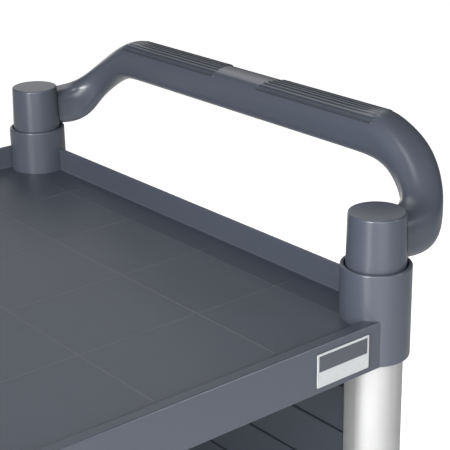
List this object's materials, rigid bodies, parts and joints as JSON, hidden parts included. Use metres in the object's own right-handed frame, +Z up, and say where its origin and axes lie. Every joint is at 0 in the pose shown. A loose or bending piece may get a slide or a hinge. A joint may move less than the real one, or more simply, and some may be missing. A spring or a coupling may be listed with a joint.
{
  "type": "service cart",
  "caption": "Moulded utility cart with tray shelves on aluminium posts, grooved end panels, plug-in push handles at both ends and swivel castors with foot brakes at one end.",
  "frame": {"origin": "on the floor under the middle of the cart, castors at rest trailing towards +X", "axes": "+X along the length towards the end with foot brakes, +Y across towards the raised back wall, +Z up"},
  "size_m": [0.9554, 0.4806, 0.9547],
  "materials": {
    "slate_plastic": "satin, fine grain",
    "panel_plastic": "satin",
    "satin_aluminium": "satin anodised",
    "label_face": "satin silver, blank",
    "zinc_plated_steel": "zinc plated",
    "black_plastic": "satin",
    "wheel_core_plastic": "satin",
    "grey_tyre_rubber": "matte"
  },
  "bodies": {
    "cart": {"bottom_shelf": "slate_plastic", "middle_shelf": "slate_plastic", "top_shelf": "slate_plastic", "push_handle_left": "slate_plastic", "push_handle_right": "slate_plastic", "lower_post_front_left": "satin_aluminium", "lower_post_front_right": "satin_aluminium", "lower_post_back_left": "satin_aluminium", "lower_post_back_right": "satin_aluminium", "lower_end_panel_left": "panel_plastic", "lower_end_panel_right": "panel_plastic", "upper_post_front_left": "satin_aluminium", "upper_post_front_right": "satin_aluminium", "upper_post_back_left": "satin_aluminium", "upper_post_back_right": "satin_aluminium", "upper_end_panel_left": "panel_plastic", "upper_end_panel_right": "panel_plastic", "label_plate": "label_face", "castor_plug_front_left": "black_plastic", "castor_stem_front_left": "zinc_plated_steel", "castor_race_front_left": "zinc_plated_steel", "castor_plug_front_right": "black_plastic", "castor_stem_front_right": "zinc_plated_steel", "castor_race_front_right": "zinc_plated_steel", "castor_plug_back_left": "black_plastic", "castor_stem_back_left": "zinc_plated_steel", "castor_race_back_left": "zinc_plated_steel", "castor_plug_back_right": "black_plastic", "castor_stem_back_right": "zinc_plated_steel", "castor_race_back_right": "zinc_plated_steel"},
    "swivel_front_left": {"castor_fork_front_left": "zinc_plated_steel", "castor_bolt_front_left": "zinc_plated_steel", "castor_nut_front_left": "zinc_plated_steel"},
    "wheel_front_left": {"wheel_core_front_left": "wheel_core_plastic", "tyre_front_left": "grey_tyre_rubber"},
    "swivel_front_right": {"castor_fork_front_right": "zinc_plated_steel", "castor_bolt_front_right": "zinc_plated_steel", "castor_nut_front_right": "zinc_plated_steel"},
    "wheel_front_right": {"wheel_core_front_right": "wheel_core_plastic", "tyre_front_right": "grey_tyre_rubber"},
    "pedal_front_right": {"brake_pedal_front_right": "black_plastic"},
    "swivel_back_left": {"castor_fork_back_left": "zinc_plated_steel", "castor_bolt_back_left": "zinc_plated_steel", "castor_nut_back_left": "zinc_plated_steel"},
    "wheel_back_left": {"wheel_core_back_left": "wheel_core_plastic", "tyre_back_left": "grey_tyre_rubber"},
    "swivel_back_right": {"castor_fork_back_right": "zinc_plated_steel", "castor_bolt_back_right": "zinc_plated_steel", "castor_nut_back_right": "zinc_plated_steel"},
    "wheel_back_right": {"wheel_core_back_right": "wheel_core_plastic", "tyre_back_right": "grey_tyre_rubber"},
    "pedal_back_right": {"brake_pedal_back_right": "black_plastic"}
  },
  "joints": [
    {"name": "swivel_front_left", "type": "hinge", "parent": "cart", "child": "swivel_front_left", "pos_m": [-0.39, -0.215, 0.13], "axis": [0, 0, 1], "continuous": true},
    {"name": "roll_front_left", "type": "hinge", "parent": "swivel_front_left", "child": "wheel_front_left", "pos_m": [-0.355, -0.215, 0.04957], "axis": [0, 1, 0], "continuous": true},
    {"name": "swivel_front_right", "type": "hinge", "parent": "cart", "child": "swivel_front_right", "pos_m": [0.39, -0.215, 0.13], "axis": [0, 0, 1], "continuous": true},
    {"name": "roll_front_right", "type": "hinge", "parent": "swivel_front_right", "child": "wheel_front_right", "pos_m": [0.425, -0.215, 0.04957], "axis": [0, 1, 0], "continuous": true},
    {"name": "brake_front_right", "type": "hinge", "parent": "swivel_front_right", "child": "pedal_front_right", "pos_m": [0.42, -0.215, 0.11], "axis": [0, 1, 0], "range_deg": [0, 12]},
    {"name": "swivel_back_left", "type": "hinge", "parent": "cart", "child": "swivel_back_left", "pos_m": [-0.39, 0.215, 0.13], "axis": [0, 0, 1], "continuous": true},
    {"name": "roll_back_left", "type": "hinge", "parent": "swivel_back_left", "child": "wheel_back_left", "pos_m": [-0.355, 0.215, 0.04957], "axis": [0, 1, 0], "continuous": true},
    {"name": "swivel_back_right", "type": "hinge", "parent": "cart", "child": "swivel_back_right", "pos_m": [0.39, 0.215, 0.13], "axis": [0, 0, 1], "continuous": true},
    {"name": "roll_back_right", "type": "hinge", "parent": "swivel_back_right", "child": "wheel_back_right", "pos_m": [0.425, 0.215, 0.04957], "axis": [0, 1, 0], "continuous": true},
    {"name": "brake_back_right", "type": "hinge", "parent": "swivel_back_right", "child": "pedal_back_right", "pos_m": [0.42, 0.215, 0.11], "axis": [0, 1, 0], "range_deg": [0, 12]}
  ]
}
